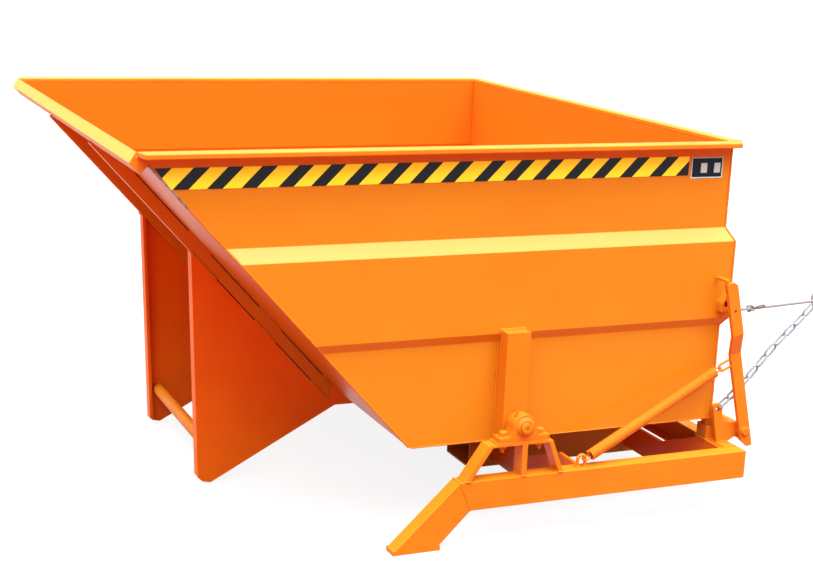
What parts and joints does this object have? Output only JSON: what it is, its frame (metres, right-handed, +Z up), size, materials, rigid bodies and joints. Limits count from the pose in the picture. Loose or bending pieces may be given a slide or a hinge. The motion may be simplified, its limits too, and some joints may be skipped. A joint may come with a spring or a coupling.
{
  "type": "self dumping hopper",
  "caption": "Tipping steel hopper with a sloped front, hung on side trunnions over a low base with fork pockets, held shut by spring-loaded latch levers.",
  "frame": {"origin": "on the ground plane, under the middle of the hopper, measured without its rope and chain", "axes": "+X towards the driver and the fork openings, -X the way the load is dumped, +Y the driver's right when looking along -X, +Z up"},
  "size_m": [1.9734, 1.832, 0.9955],
  "materials": {
    "orange_paint": "smooth orange enamel on welded sheet and bar",
    "warning_tape": "yellow and black slanted stripes",
    "blank_label": "dark plate with a pale border and two bare pale fields, no print",
    "white_rope": "twisted white cord",
    "bright_chain": "bright plated links"
  },
  "bodies": {
    "base": {"rear_cross_member": "orange_paint", "base_rail_left": "orange_paint", "front_skid_left": "orange_paint", "fork_pocket_left": "orange_paint", "front_cross_plate_left": "orange_paint", "rear_cross_plate_left": "orange_paint", "pivot_bracket_left": "orange_paint", "bearing_slab_left": "orange_paint", "bearing_housing_left": "orange_paint", "bearing_insert_left": "orange_paint", "bearing_bolt_left_front": "orange_paint", "bearing_bolt_left_rear": "orange_paint", "spring_eye_left": "orange_paint", "rear_rest_left": "orange_paint", "shaft_carrier_left": "orange_paint", "return_spring_left": "orange_paint", "base_rail_right": "orange_paint", "front_skid_right": "orange_paint", "fork_pocket_right": "orange_paint", "front_cross_plate_right": "orange_paint", "rear_cross_plate_right": "orange_paint", "pivot_bracket_right": "orange_paint", "bearing_slab_right": "orange_paint", "bearing_housing_right": "orange_paint", "bearing_insert_right": "orange_paint", "bearing_bolt_right_front": "orange_paint", "bearing_bolt_right_rear": "orange_paint", "spring_eye_right": "orange_paint", "rear_rest_right": "orange_paint", "shaft_carrier_right": "orange_paint", "return_spring_right": "orange_paint", "safety_chain": "bright_chain"},
    "box": {"floor_plate": "orange_paint", "slope_plate": "orange_paint", "rear_wall": "orange_paint", "rim_rear": "orange_paint", "lip_bar": "orange_paint", "leg_cross_tube": "orange_paint", "label_plate": "blank_label", "side_wall_left": "orange_paint", "rim_rail_left": "orange_paint", "slope_rib_left": "orange_paint", "leg_plate_left": "orange_paint", "trunnion_post_left": "orange_paint", "trunnion_shaft_left": "orange_paint", "catch_lug_left": "orange_paint", "warning_tape_left": "warning_tape", "side_wall_right": "orange_paint", "rim_rail_right": "orange_paint", "slope_rib_right": "orange_paint", "leg_plate_right": "orange_paint", "trunnion_post_right": "orange_paint", "trunnion_shaft_right": "orange_paint", "catch_lug_right": "orange_paint", "warning_tape_right": "warning_tape"},
    "latch": {"latch_shaft": "orange_paint", "release_rope": "white_rope", "latch_lever_left": "orange_paint", "latch_lever_right": "orange_paint"}
  },
  "joints": [
    {"name": "box_tip", "type": "hinge", "parent": "base", "child": "box", "pos_m": [0.11473, 0, 0.3], "axis": [0, -1, 0], "range_deg": [0, 85]},
    {"name": "latch_swing", "type": "hinge", "parent": "base", "child": "latch", "pos_m": [0.83373, 0, 0.201], "axis": [0, 1, 0], "range_deg": [0, 15], "stiffness_Nm_per_rad": 145, "springref_deg": -13.75, "deforming": ["return_spring_left", "return_spring_right"]}
  ]
}
